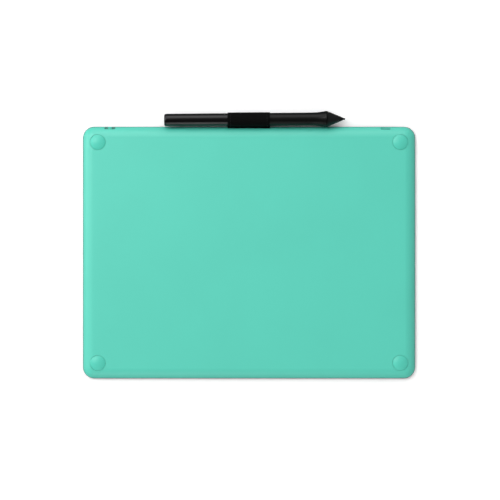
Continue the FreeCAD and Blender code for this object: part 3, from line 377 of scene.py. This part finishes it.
def make_corner_marks():
    """Angle marks at the four corners of the drawing area."""
    usual = {"Half Length": marked_half_length, "Half Width": marked_half_width}
    tree, given, wanted = new_effect("corner_marks", usual, ["Mask"])
    axes = put(tree, "ShaderNodeSeparateXYZ", {0: place_in_mm(tree)}).outputs
    out_x = maths(tree, "SUBTRACT", maths(tree, "ABSOLUTE", axes["X"]), given["Half Length"])
    centred_y = maths(tree, "SUBTRACT", axes["Y"], marked_centre_y)
    out_y = maths(tree, "SUBTRACT", maths(tree, "ABSOLUTE", centred_y), given["Half Width"])

    def in_line(distance):
        return maths(tree, "LESS_THAN", maths(tree, "ABSOLUTE", distance), mark_line / 2)

    def in_arm(distance):
        middle = maths(tree, "ADD", distance, mark_arm / 2)
        return maths(tree, "LESS_THAN", maths(tree, "ABSOLUTE", middle), (mark_arm + mark_line) / 2)

    upright = maths(tree, "MULTIPLY", in_line(out_x), in_arm(out_y))
    level = maths(tree, "MULTIPLY", in_line(out_y), in_arm(out_x))
    tree.links.new(maths(tree, "MAXIMUM", upright, level), wanted["Mask"])
    return tree


def make_webbing_weave():
    """Warp cords round the loop, each crossed by finer weft threads."""
    least_cord = 0.45             # cord's height where no thread crosses it
    fuzz_share = 0.35
    shade_from = 0.25
    shade_to = 1.1
    usual = {"Cords": 44.0, "Threads": 90.0}
    tree, given, wanted = new_effect("webbing_weave", usual, ["Height", "Shade"])
    flat = put(tree, "ShaderNodeUVMap", uv_map="flat")
    axes = put(tree, "ShaderNodeSeparateXYZ", {0: flat.outputs["UV"]}).outputs
    across = maths(tree, "MULTIPLY", axes["X"], given["Cords"])
    along = maths(tree, "MULTIPLY", axes["Y"], given["Threads"])
    cord = maths(tree, "ABSOLUTE", maths(tree, "SINE", maths(tree, "MULTIPLY", across, math.pi)))
    row = maths(tree, "FLOOR", across)
    offset = maths(tree, "MULTIPLY", maths(tree, "MODULO", row, 2.0), 0.5)
    step = maths(tree, "MULTIPLY", maths(tree, "ADD", along, offset), 2 * math.pi)
    crossing = maths(tree, "MULTIPLY_ADD", maths(tree, "SINE", step), 0.5, 0.5)
    crossed = maths(tree, "MULTIPLY_ADD", crossing, 1 - least_cord, least_cord)
    height = maths(tree, "MULTIPLY", cord, crossed)
    fuzz = put(tree, "ShaderNodeTexNoise", {"Vector": place_in_mm(tree), "Scale": 7.0, "Detail": 4.0})
    rough = maths(tree, "MULTIPLY_ADD", fuzz.outputs["Fac"], fuzz_share, height)
    tree.links.new(rough, wanted["Height"])
    # Shade is painted shade: darker where the cords sink between the weft threads.
    tree.links.new(ramp(tree, rough, shade_from, shade_to), wanted["Shade"])
    return tree


effects = {
    "grain": make_moulded_grain(),
    "handled": make_handled(),
    "rim": make_rim_polish(),
    "dome": make_foot_dome(),
    "recess": make_painted_scoop_shade(),
    "brushed": make_brushed(),
    "stripes": make_stripes(),
    "marks": make_corner_marks(),
    "weave": make_webbing_weave(),
}


def effect(tree, name, **inputs):
    """One of the shared effects in a material, with its own values."""
    made = tree.nodes.new("ShaderNodeGroup")
    made.node_tree = effects[name]
    for label, value in inputs.items():
        made.inputs[label.replace("_", " ")].default_value = value
    return made.outputs


# ================================================================ materials
rough_swing = 0.06            # change of roughness from the bottom of a grain to its top
metal_swing = 0.18            # and across the lines of a metal


def rgb(red, green, blue):
    return (red, green, blue, 1.0)


def shaded(colour, share):
    """The colour made darker (share under 1) or lighter (share over 1)."""
    return (colour[0] * share, colour[1] * share, colour[2] * share, 1.0)


def new_material(name):
    material = bpy.data.materials.new(name)
    material.use_nodes = True
    tree = material.node_tree
    shader = tree.nodes["Principled BSDF"]
    return material, tree, shader


def feed(tree, shader, name, socket):
    tree.links.new(socket, shader.inputs[name])


def uneven(tree, shader, share, none, full):
    """Roughness that follows an effect, from the value where it is 0 to the value where it is 1."""
    feed(tree, shader, "Roughness", maths(tree, "MULTIPLY_ADD", share, full - none, none))


def relief(tree, shader, height, depth):
    """Bump of a real depth in millimetres."""
    bump = put(tree, "ShaderNodeBump", {"Height": height, "Distance": depth / 1000, "Strength": 1.0})
    feed(tree, shader, "Normal", bump.outputs["Normal"])


def drifting(tree, share, colour, drift):
    """The colour, a little darker and lighter from place to place."""
    return mixed(tree, share, shaded(colour, 1 - drift), shaded(colour, 1 + drift))


def moulded(name, colour, roughness, grain=0.4, depth=0.02, drift=0.05, patch=30.0,
            specular=0.5, handled_share=0.0, rim=None, rubbed_share=0.0, recess=1.0, dome=0.0):
    """Moulded plastic or rubber: grain, slow drift of colour, faint marks of handling.

    grain and patch are sizes in millimetres, and depth is that of the grain. handled_share and
    rubbed_share are taken off the roughness. recess, under 1, paints shade into the finger scoop; dome
    raises the feet.
    """
    material, tree, shader = new_material(name)
    grained = effect(tree, "grain", Grain=grain, Patch=patch)
    tint = drifting(tree, grained["Drift"], colour, drift)
    least_rough = roughness - rough_swing / 2
    rough = maths(tree, "MULTIPLY_ADD", grained["Height"], rough_swing, least_rough)
    if handled_share:
        marks = effect(tree, "handled", Size=9.0, Spots=0.6)["Mask"]
        rough = maths(tree, "MULTIPLY_ADD", marks, -handled_share, rough)
    if rim:
        edge = effect(tree, "rim", **rim)["Mask"]
        rough = maths(tree, "MULTIPLY_ADD", edge, -rubbed_share, rough)
    # Painted shade: the colour in the power button's finger scoop is darkened to the share recess.
    if recess < 1:
        tint = mixed(tree, effect(tree, "recess")["Mask"], tint, shaded(colour, recess))
    feed(tree, shader, "Base Color", tint)
    feed(tree, shader, "Roughness", rough)
    shader.inputs["Specular IOR Level"].default_value = specular
    height = grained["Height"]
    if dome:
        # A height of 1 stands for the grain's depth, so the crown is counted in depths.
        crown = maths(tree, "MULTIPLY", effect(tree, "dome")["Height"], dome / depth)
        height = maths(tree, "ADD", height, crown)
    relief(tree, shader, height, depth)
    return material


def metal(name, colour, roughness, line=0.12, stretch=0.05, depth=0.004, drift=0.08):
    """Rolled, brushed or plated metal."""
    material, tree, shader = new_material(name)
    lines = effect(tree, "brushed", Line=line, Stretch=stretch)["Height"]
    slow = effect(tree, "grain", Grain=0.3, Patch=6.0)["Drift"]
    feed(tree, shader, "Base Color", drifting(tree, slow, colour, drift))
    uneven(tree, shader, lines, none=roughness - metal_swing / 2, full=roughness + metal_swing / 2)
    shader.inputs["Metallic"].default_value = 1.0
    relief(tree, shader, lines, depth)
    return material


def drawing_sheet():
    """Black sheet with a paper-like tooth and pale corner marks."""
    material, tree, shader = new_material("drawing_sheet")
    tooth = effect(tree, "grain", Grain=0.22, Patch=40.0)
    worn = effect(tree, "handled", Size=14.0, Spots=0.58)["Mask"]
    marks = effect(tree, "marks")["Mask"]
    black = rgb(0.02, 0.021, 0.023)
    pale_mark = rgb(0.36, 0.37, 0.38)
    worn_share = maths(tree, "MULTIPLY", worn, 0.25)
    ground = drifting(tree, tooth["Drift"], black, 0.06)
    rubbed = mixed(tree, worn_share, ground, shaded(black, 1.5))
    feed(tree, shader, "Base Color", mixed(tree, marks, rubbed, pale_mark))
    uneven(tree, shader, worn, none=0.62, full=0.52)
    relief(tree, shader, tooth["Height"], depth=0.03)
    return material


def circuit_board():
    """Green solder mask over copper tracks."""
    material, tree, shader = new_material("circuit_board")
    tracks = effect(tree, "stripes", Pitch=1.1, Along_X=1.0, Along_Y=0.35, Waver=5.0)["Mask"]
    fine = effect(tree, "grain", Grain=0.3, Patch=5.0)
    bare = rgb(0.006, 0.075, 0.028)
    over_copper = rgb(0.018, 0.15, 0.055)
    share = maths(tree, "MULTIPLY", tracks, fine["Drift"])
    feed(tree, shader, "Base Color", mixed(tree, share, bare, over_copper))
    uneven(tree, shader, fine["Height"], none=0.28, full=0.38)
    relief(tree, shader, share, depth=0.03)
    return material


def flat_cable():
    """Amber film with tracks along it."""
    material, tree, shader = new_material("flat_cable")
    tracks = effect(tree, "stripes", Pitch=0.8, Along_X=1.0, Along_Y=0.0)["Mask"]
    fine = effect(tree, "grain", Grain=0.5, Patch=8.0)
    film = rgb(0.42, 0.17, 0.02)
    over_copper = rgb(0.5, 0.26, 0.06)
    feed(tree, shader, "Base Color", mixed(tree, tracks, film, over_copper))
    uneven(tree, shader, fine["Height"], none=0.25, full=0.37)
    relief(tree, shader, tracks, depth=0.02)
    return material


def foil_pouch():
    """Crinkled foil laminate round the cell."""
    material, tree, shader = new_material("foil_pouch")
    crinkle = effect(tree, "grain", Grain=3.5, Patch=14.0)
    dull = rgb(0.5, 0.52, 0.54)
    bright = rgb(0.68, 0.7, 0.72)
    feed(tree, shader, "Base Color", mixed(tree, crinkle["Drift"], dull, bright))
    uneven(tree, shader, crinkle["Height"], none=0.28, full=0.43)
    shader.inputs["Metallic"].default_value = 0.85
    relief(tree, shader, crinkle["Height"], depth=0.12)
    return material


def copper_winding():
    """Fine enamelled wire wound round the pen's axis."""
    material, tree, shader = new_material("copper_winding")
    turns = effect(tree, "stripes", Pitch=0.16, Along_X=1.0, Along_Y=0.0)["Height"]
    slow = effect(tree, "grain", Grain=0.4, Patch=3.0)["Drift"]
    dark_enamel = rgb(0.55, 0.2, 0.08)
    light_enamel = rgb(0.78, 0.36, 0.16)
    between_turns = rgb(0.22, 0.07, 0.03)
    enamel = mixed(tree, slow, dark_enamel, light_enamel)
    # Painted shade: the winding is darker in the grooves between its turns.
    feed(tree, shader, "Base Color", mixed(tree, turns, between_turns, enamel))
    uneven(tree, shader, turns, none=0.36, full=0.26)
    shader.inputs["Metallic"].default_value = 0.9
    relief(tree, shader, turns, depth=0.06)
    return material


def light_guide():
    """Frosted window of the status light."""
    material, tree, shader = new_material("light_guide")
    frost = effect(tree, "grain", Grain=0.25, Patch=2.0)
    dim_white = rgb(0.78, 0.8, 0.82)
    bright_white = rgb(0.88, 0.9, 0.92)
    feed(tree, shader, "Base Color", mixed(tree, frost["Drift"], dim_white, bright_white))
    uneven(tree, shader, frost["Height"], none=0.38, full=0.48)
    shader.inputs["Subsurface Weight"].default_value = 0.2
    shader.inputs["Subsurface Radius"].default_value = (0.001, 0.001, 0.001)
    relief(tree, shader, frost["Height"], depth=0.01)
    return material


def woven_webbing():
    """Black woven elastic."""
    material, tree, shader = new_material("woven_webbing")
    weave = effect(tree, "weave")
    between_cords = rgb(0.0006, 0.0006, 0.0007)
    on_cords = rgb(0.0035, 0.0034, 0.0035)
    # Painted shade: the webbing is darker between the cords than on their tops.
    feed(tree, shader, "Base Color", mixed(tree, weave["Shade"], between_cords, on_cords))
    uneven(tree, shader, weave["Shade"], none=0.9, full=0.75)
    shader.inputs["Specular IOR Level"].default_value = 0.11
    relief(tree, shader, weave["Height"], depth=0.1)
    return material


def sewing_thread():
    """Black bonded thread, twisted."""
    material, tree, shader = new_material("sewing_thread")
    twist = effect(tree, "stripes", Pitch=0.3, Along_X=0.8, Along_Y=0.6)["Height"]
    between_strands = rgb(0.003, 0.003, 0.003)
    on_strands = rgb(0.014, 0.013, 0.014)
    # Painted shade: the thread is darker in the grooves between its strands.
    feed(tree, shader, "Base Color", mixed(tree, twist, between_strands, on_strands))
    uneven(tree, shader, twist, none=0.62, full=0.47)
    shader.inputs["Specular IOR Level"].default_value = 0.4
    relief(tree, shader, twist, depth=0.03)
    return material


mint = rgb(0.082, 0.59, 0.458)
cover_rim = {"Half_Length": cover_half_length, "Half_Width": cover_half_width, "Reach": cover_rubbed}
panel_rim = {"Half_Length": panel_half_length, "Half_Width": panel_half_width, "Reach": panel_rubbed}
materials = {
    # The mint case carries painted shade in the power button's finger scoop (recess).
    "case_mint": moulded("mint_case", mint, 0.46, grain=0.38, depth=0.012, drift=0.012, patch=70,
                         specular=0.75, rim=cover_rim, rubbed_share=0.03, recess=0.45),
    "foot_mint": moulded("mint_foot", shaded(mint, 0.98), 0.42, grain=0.5, depth=0.006, drift=0.02,
                         dome=foot_extra_crown),
    "power_mint": moulded("mint_button", shaded(mint, 0.95), 0.38, grain=0.3, depth=0.005, drift=0.02),
    "panel_black": moulded("black_panel", rgb(0.014, 0.015, 0.017), 0.5, grain=0.45, depth=0.02,
                           handled_share=0.08, rim=panel_rim, rubbed_share=0.06),
    "surface_black": drawing_sheet(),
    "key_black": moulded("black_key", rgb(0.02, 0.02, 0.022), 0.4, grain=0.35, handled_share=0.1),
    "light_white": light_guide(),
    "board_green": circuit_board(),
    "chip_black": moulded("chip_case", rgb(0.015, 0.015, 0.016), 0.55, grain=0.15, drift=0.15, patch=3),
    "spring_steel": metal("spring_steel", rgb(0.6, 0.6, 0.58), 0.3),
    "screw_steel": metal("screw_steel", rgb(0.35, 0.35, 0.36), 0.38, line=0.2, stretch=1.0),
    "port_steel": metal("port_steel", rgb(0.62, 0.63, 0.65), 0.26, line=0.1, stretch=0.3),
    "shield_foil": metal("shield_foil", rgb(0.72, 0.73, 0.74), 0.34, line=0.25),
    "battery_wrap": foil_pouch(),
    "wire_red": moulded("wire_cover", rgb(0.35, 0.02, 0.02), 0.45, grain=0.3, depth=0.01),
    "plug_white": moulded("plug_case", rgb(0.75, 0.74, 0.7), 0.45, grain=0.3, depth=0.01),
    "ribbon_amber": flat_cable(),
    "loop_webbing": woven_webbing(),
    "pen_gloss": moulded("pen_rear_finish", rgb(0.0035, 0.003, 0.0033), 0.23, grain=0.5, depth=0.002,
                         drift=0.1, handled_share=0.05),
    "pen_matte": moulded("pen_soft_touch", rgb(0.0028, 0.0028, 0.0028), 0.35, grain=0.18, depth=0.01,
                         drift=0.08, specular=0.27, handled_share=0.06),
    "pen_cone": moulded("pen_nose_finish", rgb(0.006, 0.0065, 0.0065), 0.42, grain=0.3, depth=0.006,
                        drift=0.08, specular=0.4),
    "nib_grey": moulded("nib_finish", rgb(0.012, 0.012, 0.0125), 0.36, grain=0.2, depth=0.004),
    "carrier_grey": moulded("inner_carrier", rgb(0.09, 0.09, 0.1), 0.5, grain=0.4),
    "ferrite_grey": moulded("sintered_ferrite", rgb(0.05, 0.05, 0.055), 0.6, grain=0.12, depth=0.03),
    "coil_copper": copper_winding(),
}


def dress_the_nodes():
    """Each CAD node wears the material of its own slot."""
    for part in frame["record"]["subparts"]:
        surface = nodes[part["node"]].data
        surface.materials.clear()
        surface.materials.append(materials[part["material_slot"]])


# ================================================================ floor and backdrop
floor_white = 0.8
floor_in_gloss = 0.12         # floor's brightness in glossy surfaces
floor_seen = 1.08             # and to the camera, which keeps only deep shadows
diffuse_fill = 0.59           # backdrop's light on dull surfaces
glossy_fill = 0.12            # and its brightness in glossy surfaces
ceiling_dark = 0.0            # its brightness there straight overhead
ceiling_lean = -0.22          # dark ceiling's middle, towards the near side
ceiling_from = 0.80           # cosine from the ceiling's middle where it begins
ceiling_to = 0.90


def lay_the_floor():
    """White table top, which keeps its shadows near the tablet and is plain white far off."""
    mesh = bmesh.new()
    bmesh.ops.create_grid(mesh, x_segments=1, y_segments=1, size=floor_size / 2)
    bmesh.ops.translate(mesh, verts=mesh.verts, vec=mm(0, 0, -floor_drop))
    floor = finished(mesh, "floor")
    material = bpy.data.materials.new("white_table")
    material.use_nodes = True
    tree = material.node_tree
    tree.nodes.remove(tree.nodes["Principled BSDF"])
    rays = tree.nodes.new("ShaderNodeLightPath").outputs
    less_in_gloss = floor_in_gloss - floor_white
    more_seen = floor_seen - floor_white
    dimmed = maths(tree, "MULTIPLY_ADD", rays["Is Glossy Ray"], less_in_gloss, floor_white)
    white = maths(tree, "MULTIPLY_ADD", rays["Is Camera Ray"], more_seen, dimmed)
    tint = put(tree, "ShaderNodeCombineColor", {0: white, 1: white, 2: white}).outputs[0]
    near = put(tree, "ShaderNodeBsdfDiffuse", {"Color": tint})
    place = tree.nodes.new("ShaderNodeTexCoord").outputs["Object"]
    distance = put(tree, "ShaderNodeVectorMath", {0: place}, operation="LENGTH").outputs["Value"]
    far = ramp(tree, distance, plain_floor_from, plain_floor_to)
    plain = put(tree, "ShaderNodeEmission", {"Strength": 1.0})
    share = maths(tree, "MULTIPLY", rays["Is Camera Ray"], far)
    both = put(tree, "ShaderNodeMixShader", {0: share, 1: near.outputs[0], 2: plain.outputs[0]})
    tree.links.new(both.outputs[0], tree.nodes["Material Output"].inputs["Surface"])
    floor.data.materials.append(material)


def hang_the_backdrop():
    """White all round to the camera. Glossy surfaces see it dimmed, with a dark ceiling."""
    world = bpy.data.worlds.new("backdrop")
    world.use_nodes = True
    bpy.context.scene.world = world
    tree = world.node_tree
    rays = tree.nodes.new("ShaderNodeLightPath").outputs
    direction = tree.nodes.new("ShaderNodeTexCoord").outputs["Generated"]
    middle = Vector((0, ceiling_lean, 1)).normalized()
    overhead = put(tree, "ShaderNodeVectorMath", {0: direction, 1: middle}, operation="DOT_PRODUCT")
    height = overhead.outputs["Value"]
    in_gloss = ramp(tree, height, ceiling_from, ceiling_to, glossy_fill, ceiling_dark)
    extra = maths(tree, "SUBTRACT", in_gloss, diffuse_fill)
    unseen = maths(tree, "MULTIPLY_ADD", rays["Is Glossy Ray"], extra, diffuse_fill)
    seen = maths(tree, "MAXIMUM", rays["Is Camera Ray"], rays["Is Transmission Ray"])
    strength = maths(tree, "MAXIMUM", unseen, seen)
    tree.links.new(strength, tree.nodes["Background"].inputs["Strength"])
    tree.nodes["Background"].inputs["Color"].default_value = rgb(1, 1, 1)


# ================================================================ pieces
def finished(mesh, name, smooth=False):
    """A bmesh made into an object at the origin."""
    data = bpy.data.meshes.new(name)
    mesh.to_mesh(data)
    mesh.free()
    for face in data.polygons:
        face.use_smooth = smooth
    piece = bpy.data.objects.new(name, data)
    bpy.context.scene.collection.objects.link(piece)
    return piece


def run_along(points):
    """Distance of each point along the line from its first point."""
    return np.concatenate([[0], np.cumsum(np.linalg.norm(np.diff(points, axis=0), axis=1))])


def soft_line(corners):
    """Points close together along straight runs, with the corners between them softened."""
    corners = np.array(corners)
    run = run_along(corners)
    even = np.arange(0, run[-1], line_step)
    points = np.stack([np.interp(even, run, corners[:, i]) for i in range(2)], axis=1)
    reach = int(crease_softness / line_step / 2)
    held = np.pad(points, ((reach, reach), (0, 0)), mode="reflect", reflect_type="odd")
    window = np.ones(2 * reach + 1) / (2 * reach + 1)
    return np.stack([np.convolve(held[:, i], window, mode="valid") for i in range(2)], axis=1)


def loop_side_view():
    """Middle line of the webbing as (y, z): out of the slot, round the pen and back in."""
    centre = np.array([pen_axis_y, pen_axis_z])
    mouth = np.array([loop_mouth_y, loop_slot_z])
    away = np.linalg.norm(centre - mouth)
    towards = math.atan2(centre[1] - mouth[1], centre[0] - mouth[0])
    opening = math.asin(loop_inner / away) + math.pi / 2
    turns = np.linspace(towards + opening, towards - opening, turn_points)
    circle = centre + loop_radius * np.stack([np.cos(turns), np.sin(turns)], axis=1)

    def slot_corner(end, before, z):
        slope = end - before
        return end + slope * (z - end[1]) / slope[1]

    high_z = loop_slot_z + ply_offset
    low_z = loop_slot_z - ply_offset
    high_corner = slot_corner(circle[0], circle[1], high_z)
    low_corner = slot_corner(circle[-1], circle[-2], low_z)
    high_tail = [(loop_tail_y, high_z), high_corner]
    low_tail = [low_corner, (loop_tail_y, low_z)]
    return soft_line([*high_tail, *circle, *low_tail])


def tilted_with_pen(mesh):
    """Turns a bmesh about the upright line through the loop, as the pen leans."""
    middle = mm(0, pen_axis_y, 0)
    turn = Matrix.Rotation(math.radians(pen_tilt), 3, "Z")
    bmesh.ops.rotate(mesh, verts=mesh.verts, cent=middle, matrix=turn)


def webbing_loop():
    """Flat cut of woven elastic, wrapped along the loop's side view."""
    line = loop_side_view()
    run = run_along(line)
    flat_length = run[-1]
    mesh = bmesh.new()
    mesh.loops.layers.uv.new("flat")
    bmesh.ops.create_grid(mesh, x_segments=webbing_columns, y_segments=webbing_rows,
                          size=0.5, calc_uvs=True)
    for point in mesh.verts:
        distance = (point.co.y + 0.5) * flat_length
        y = np.interp(distance, run, line[:, 0])
        z = np.interp(distance, run, line[:, 1])
        x = loop_centre_x + point.co.x * loop_width
        point.co = mm(x, y, z)
    tilted_with_pen(mesh)
    bmesh.ops.recalc_face_normals(mesh, faces=mesh.faces)
    webbing = finished(mesh, "webbing_loop", smooth=True)
    wall = webbing.modifiers.new("wall", "SOLIDIFY")
    wall.thickness = mm(webbing_thickness)
    wall.offset = 0
    soften = webbing.modifiers.new("edges", "BEVEL")
    soften.width = mm(webbing_edge_softness)
    soften.segments = 2
    soften.limit_method = "ANGLE"
    soften.angle_limit = math.radians(webbing_edge_angle)
    webbing.data.materials.append(materials["loop_webbing"])
    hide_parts("pen_loop")
    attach(webbing, "tablet")
    return webbing, (mm(loop_width), mm(flat_length))


def loop_stitching():
    """Two rows of stitches that hold the hems, on the outside of the loop."""
    mesh = bmesh.new()
    centre = mm(0, pen_axis_y, pen_axis_z)
    outer_radius = loop_radius + webbing_thickness / 2
    pitch = math.degrees(stitch_pitch / outer_radius)
    row = loop_width / 2 - hem_from_edge
    size = mm(stitch_radius, stitch_length / 2, stitch_radius)
    for from_middle in (-row, row):
        for index in range(int(stitch_span / pitch)):
            made = bmesh.ops.create_uvsphere(mesh, u_segments=stitch_sides,
                                             v_segments=stitch_rings, radius=1)["verts"]
            bmesh.ops.scale(mesh, verts=made, vec=size)
            lean = Matrix.Rotation(math.radians(random.uniform(*stitch_lean)), 3, "Z")
            bmesh.ops.rotate(mesh, verts=made, cent=(0, 0, 0), matrix=lean)
            place = mm(loop_centre_x + from_middle, 0, outer_radius + stitch_lift)
            bmesh.ops.translate(mesh, verts=made, vec=place)
            turn = Matrix.Rotation(math.radians(stitch_start + index * pitch), 3, "X")
            bmesh.ops.rotate(mesh, verts=made, cent=(0, 0, 0), matrix=turn)
            bmesh.ops.translate(mesh, verts=made, vec=centre)
    tilted_with_pen(mesh)
    stitches = finished(mesh, "loop_stitching", smooth=True)
    stitches.data.materials.append(sewing_thread())
    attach(stitches, "tablet")
    return stitches


def port_contacts():
    """Gold contacts on the tongue of the port."""
    low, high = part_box("usb_tongue")
    middle = (low + high) / 2
    middle_contact = Vector((middle.x, middle.y, low.z)) + mm(0, contact_forward, 0)
    mesh = bmesh.new()
    for index in range(-contacts_each_side, contacts_each_side + 1):
        place = middle_contact + mm(contact_pitch * index, 0, 0)
        pad = bmesh.ops.create_cube(mesh, size=1)["verts"]
        bmesh.ops.scale(mesh, verts=pad, vec=mm(contact_width, contact_length, contact_height))
        bmesh.ops.translate(mesh, verts=pad, vec=place)
    bmesh.ops.bevel(mesh, geom=list(mesh.edges), offset=mm(contact_edge), affect="EDGES",
                    segments=1, profile=0.5, material=-1)
    contacts = finished(mesh, "port_contacts")
    contacts.data.materials.append(metal("gold_plate", rgb(0.75, 0.52, 0.2), 0.28, line=0.08))
    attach(contacts, "tablet")


# ================================================================ the scene
make_camera()
light_the_studio()
lay_the_floor()
hang_the_backdrop()
dress_the_nodes()
webbing, webbing_flat = webbing_loop()
stitching = loop_stitching()
port_contacts()
